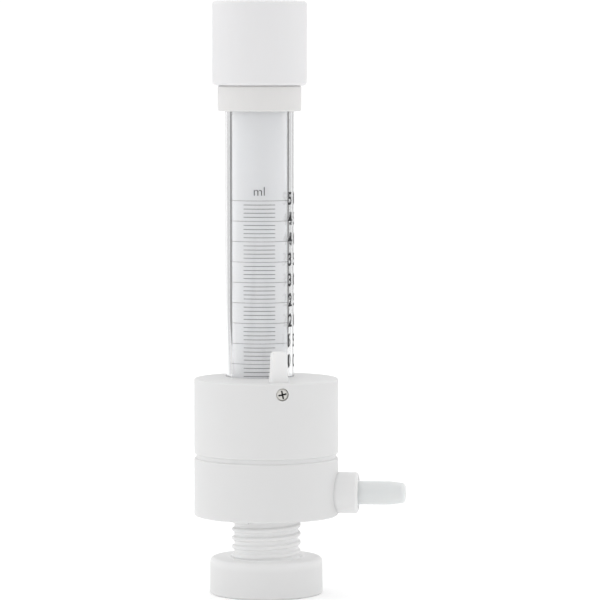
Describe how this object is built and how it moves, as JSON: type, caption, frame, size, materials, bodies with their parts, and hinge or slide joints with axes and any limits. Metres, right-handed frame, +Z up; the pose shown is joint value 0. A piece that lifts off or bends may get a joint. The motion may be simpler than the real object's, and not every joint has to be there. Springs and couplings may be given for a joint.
{
  "type": "bottle-top dispenser",
  "caption": "Bottle-top dosing dispenser: plunger in a clear graduated barrel on a round valve housing, with a side nozzle, priming key and screw-on bottle adapter.",
  "frame": {"origin": "centre of the bottle adapter's bottom rim, on the neck's axis", "axes": "+Z up along the neck and valve housing, +X along the outlet nozzle away from the housing"},
  "size_m": [0.098, 0.0679, 0.2734],
  "materials": {
    "cap_white": "satin",
    "collar_white": "satin",
    "housing_white": "satin",
    "block_white": "satin",
    "adapter_white": "satin",
    "key_white": "satin",
    "plunger_white": "smooth",
    "seal_white": "smooth",
    "gasket_white": "smooth",
    "gland_white": "satin",
    "valve_white": "smooth",
    "barrel_glass": "clear, printed scale",
    "nozzle_clear": "milky translucent",
    "elastomer": "smooth",
    "ball_glass": "polished",
    "spring_steel": "bright wire",
    "rod_steel": "turned",
    "screw_steel": "bright"
  },
  "bodies": {
    "pump": {"valve_block": "block_white", "upper_housing": "housing_white", "barrel": "barrel_glass", "barrel_seat": "elastomer", "barrel_seal_ring": "elastomer", "barrel_collar": "collar_white", "guide_ring": "seal_white", "block_gasket": "elastomer", "housing_screw_1": "screw_steel", "housing_screw_2": "screw_steel", "housing_screw_3": "screw_steel", "housing_screw_4": "screw_steel", "key_seal_ring": "elastomer", "key_screw": "screw_steel", "return_tube": "seal_white", "intake_nipple": "valve_white", "intake_seat": "valve_white", "intake_cage": "valve_white", "discharge_seat": "valve_white", "discharge_spring": "spring_steel", "valve_sleeve": "seal_white", "nozzle_washer": "seal_white", "outlet_nozzle": "nozzle_clear", "outlet_gland": "gland_white"},
    "plunger": {"grip_cap": "cap_white", "plunger_tube": "plunger_white", "plunger_rod": "rod_steel", "piston_head": "plunger_white", "piston_seal": "seal_white"},
    "key": {"priming_key": "key_white"},
    "intake_ball": {"intake_ball": "ball_glass"},
    "discharge_ball": {"discharge_ball": "ball_glass"},
    "gasket": {"adapter_gasket": "gasket_white"},
    "adapter": {"bottle_adapter": "adapter_white"}
  },
  "joints": [
    {"name": "plunger_slide", "type": "slide", "parent": "pump", "child": "plunger", "axis": [0, 0, 1], "range_m": [0, 0.0942]},
    {"name": "key_turn", "type": "hinge", "parent": "pump", "child": "key", "pos_m": [0.00802, -0.0241, 0.0996], "axis": [0, 0, 1], "range_deg": [0, 90]},
    {"name": "intake_ball_lift", "type": "slide", "parent": "pump", "child": "intake_ball", "axis": [0, 0, 1], "range_m": [0, 0.0019]},
    {"name": "discharge_ball_open", "type": "slide", "parent": "pump", "child": "discharge_ball", "axis": [1, 0, 0], "range_m": [0, 0.0012], "stiffness_N_per_m": 60, "springref_m": -0.002, "deforming": ["discharge_spring"]},
    {"name": "adapter_lift", "type": "slide", "parent": "pump", "child": "gasket", "axis": [0, 0, 1], "range_m": [-0.002, 0.018]},
    {"name": "adapter_turn", "type": "hinge", "parent": "gasket", "child": "adapter", "pos_m": [0, 0, 0], "axis": [0, 0, 1], "range_deg": [-181, 1621]}
  ],
  "couplings": [
    {"joint": "adapter_turn", "follows": "adapter_lift", "rad_per_m": 1570.8}
  ]
}
